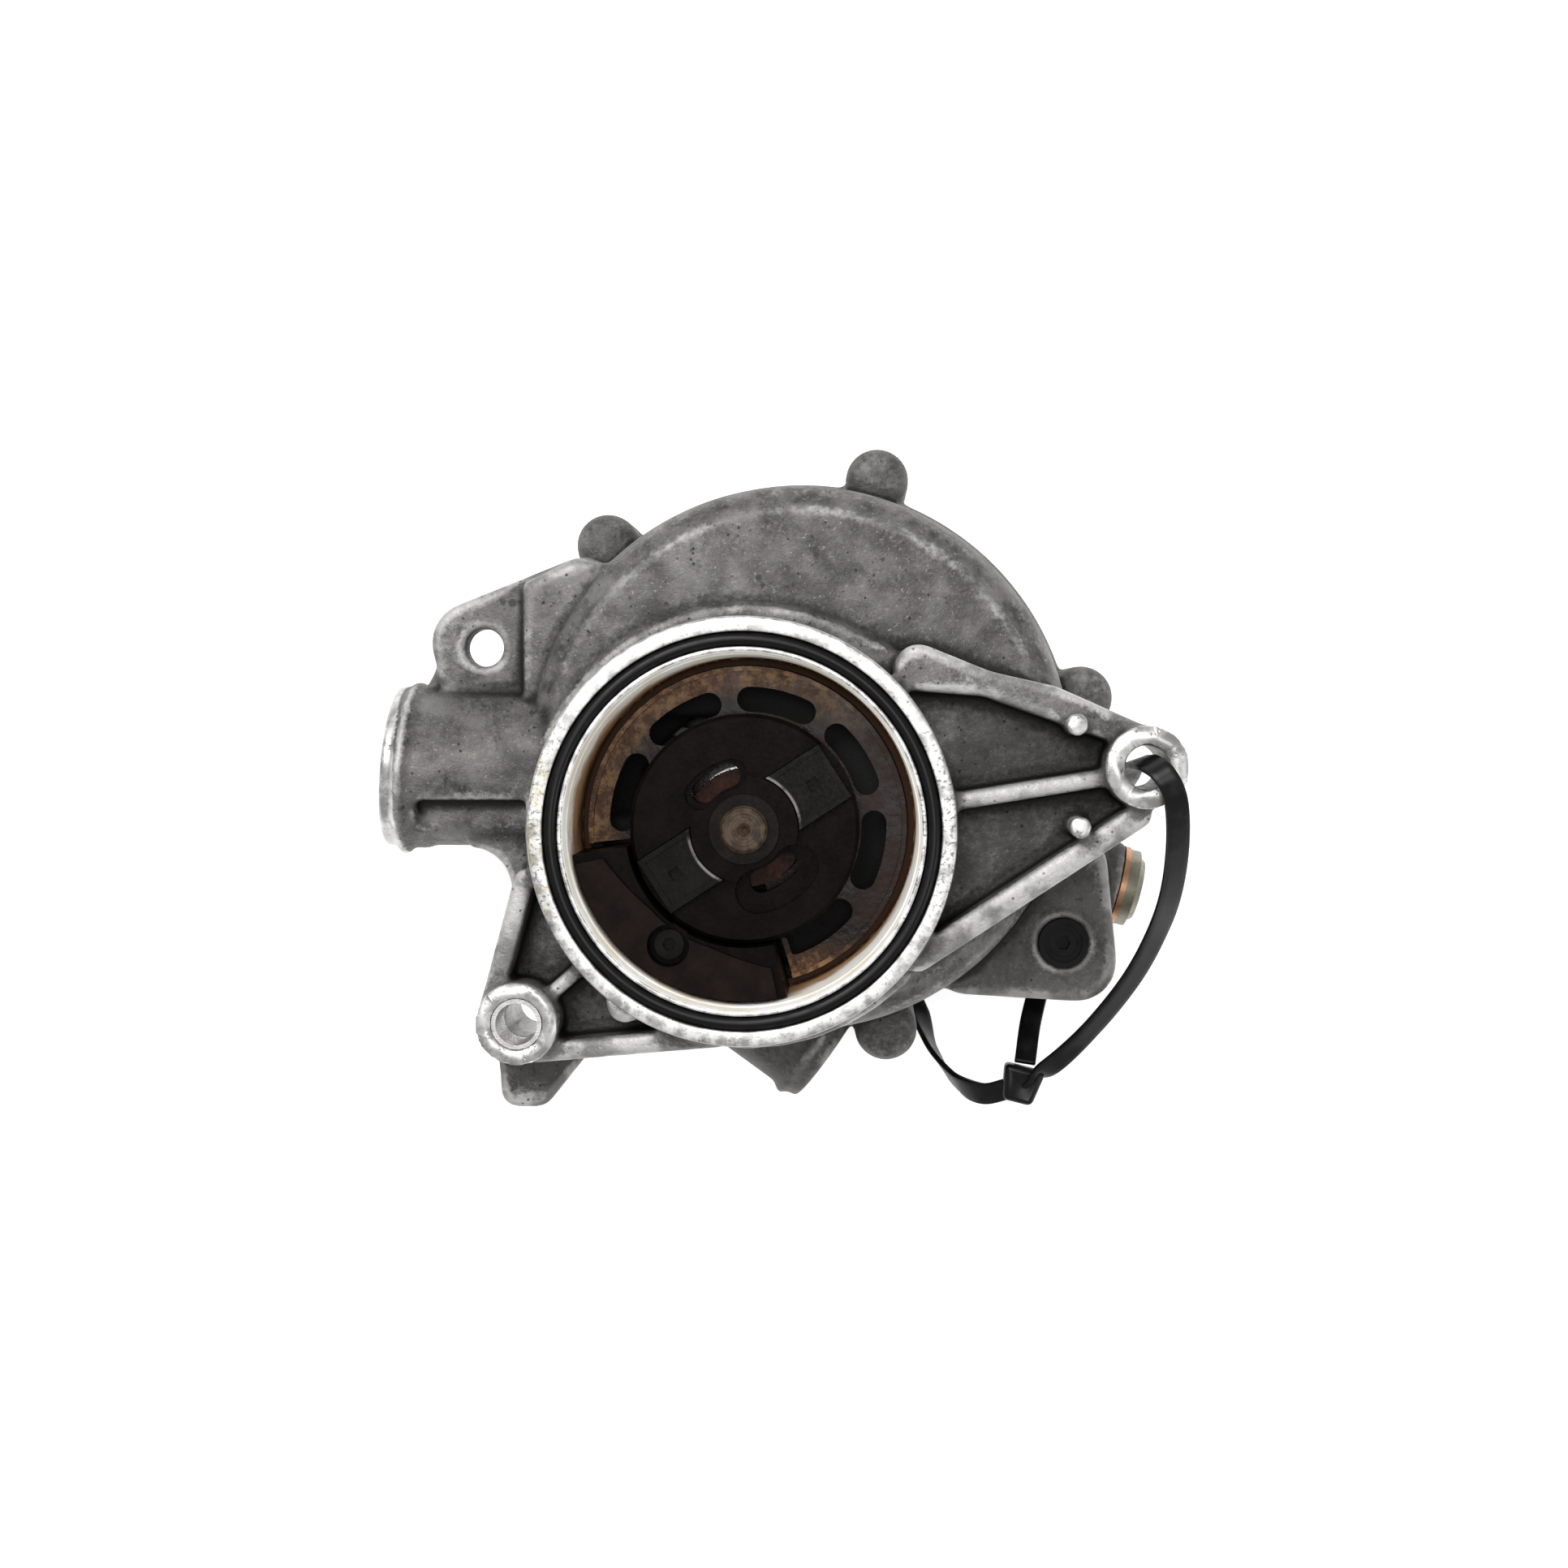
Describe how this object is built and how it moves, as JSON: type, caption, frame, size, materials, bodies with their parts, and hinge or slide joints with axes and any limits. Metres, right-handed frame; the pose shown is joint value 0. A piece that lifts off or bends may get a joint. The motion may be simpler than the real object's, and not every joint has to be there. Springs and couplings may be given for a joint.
{
  "type": "engine-driven water pump",
  "caption": "Cast aluminium coolant pump with a round drive nose, eccentric pump drum, two hose ports and three mounting ears.",
  "frame": {"origin": "centre of the machined nose face, on the drive axis", "axes": "+Z out of the nose along the drive axis, +X towards the single long ear, +Y towards the top of the drum"},
  "size_m": [0.1707, 0.147, 0.083],
  "materials": {
    "cast_aluminium": "as cast, bead-rough",
    "cover_aluminium": "as cast",
    "zinc_steel": "satin",
    "bearing_steel": "polished",
    "spring_steel": "dark",
    "shaft_steel": "oil stained",
    "oily_steel": "brown oil varnish",
    "hub_steel": "dark, oil filmed",
    "bronze": "oil stained",
    "brass": "satin",
    "black_rubber": "moulded",
    "gasket_fibre": "fibre sheet",
    "black_plastic": "moulded",
    "passivated_steel": "greenish brown passivate",
    "carbon": "lapped",
    "ceramic": "lapped"
  },
  "bodies": {
    "pump_body": {"housing": "cast_aluminium", "rear_cover": "cover_aluminium", "cover_gasket": "gasket_fibre", "cover_bolts": "zinc_steel", "cover_dowels": "bearing_steel", "ear_dowel_sleeve": "zinc_steel", "nose_o_ring": "black_rubber", "windowed_plate": "oily_steel", "oil_baffle": "hub_steel", "baffle_strap": "hub_steel", "baffle_screw": "spring_steel", "boss_plug": "black_plastic", "boss_plug_insert": "spring_steel", "side_plug": "passivated_steel", "side_plug_washer": "bronze", "oil_seal_case": "zinc_steel", "oil_seal_lip": "black_rubber", "oil_seal_spring": "spring_steel", "front_bearing_outer": "bearing_steel", "rear_bearing_outer": "bearing_steel", "bore_circlip": "spring_steel", "seal_cup": "brass", "seal_bellows": "black_rubber", "seal_spring": "spring_steel", "seal_carbon_ring": "carbon"},
    "rotor": {"shaft": "shaft_steel", "drive_hub": "hub_steel", "hub_collar": "hub_steel", "drive_dogs": "hub_steel", "thrust_washer": "bronze", "front_sleeve": "bearing_steel", "front_bearing_inner": "bearing_steel", "rear_bearing_inner": "bearing_steel", "bearing_spacer": "bearing_steel", "shaft_circlip": "spring_steel", "seal_mating_ring": "ceramic", "mating_ring_cup": "black_rubber", "impeller": "cover_aluminium"},
    "front_ball_set": {"front_bearing_balls": "bearing_steel", "front_bearing_cage": "brass"},
    "rear_ball_set": {"rear_bearing_balls": "bearing_steel", "rear_bearing_cage": "brass"}
  },
  "joints": [
    {"name": "rotor_spin", "type": "hinge", "parent": "pump_body", "child": "rotor", "pos_m": [0, 0, 0], "axis": [0, 0, 1], "continuous": true},
    {"name": "front_ball_spin", "type": "hinge", "parent": "pump_body", "child": "front_ball_set", "pos_m": [0, 0, -0.04], "axis": [0, 0, 1], "continuous": true},
    {"name": "rear_ball_spin", "type": "hinge", "parent": "pump_body", "child": "rear_ball_set", "pos_m": [0, 0, -0.051], "axis": [0, 0, 1], "continuous": true}
  ],
  "couplings": [
    {"joint": "front_ball_spin", "follows": "rotor_spin", "ratio": 0.3678},
    {"joint": "rear_ball_spin", "follows": "rotor_spin", "ratio": 0.3678}
  ]
}
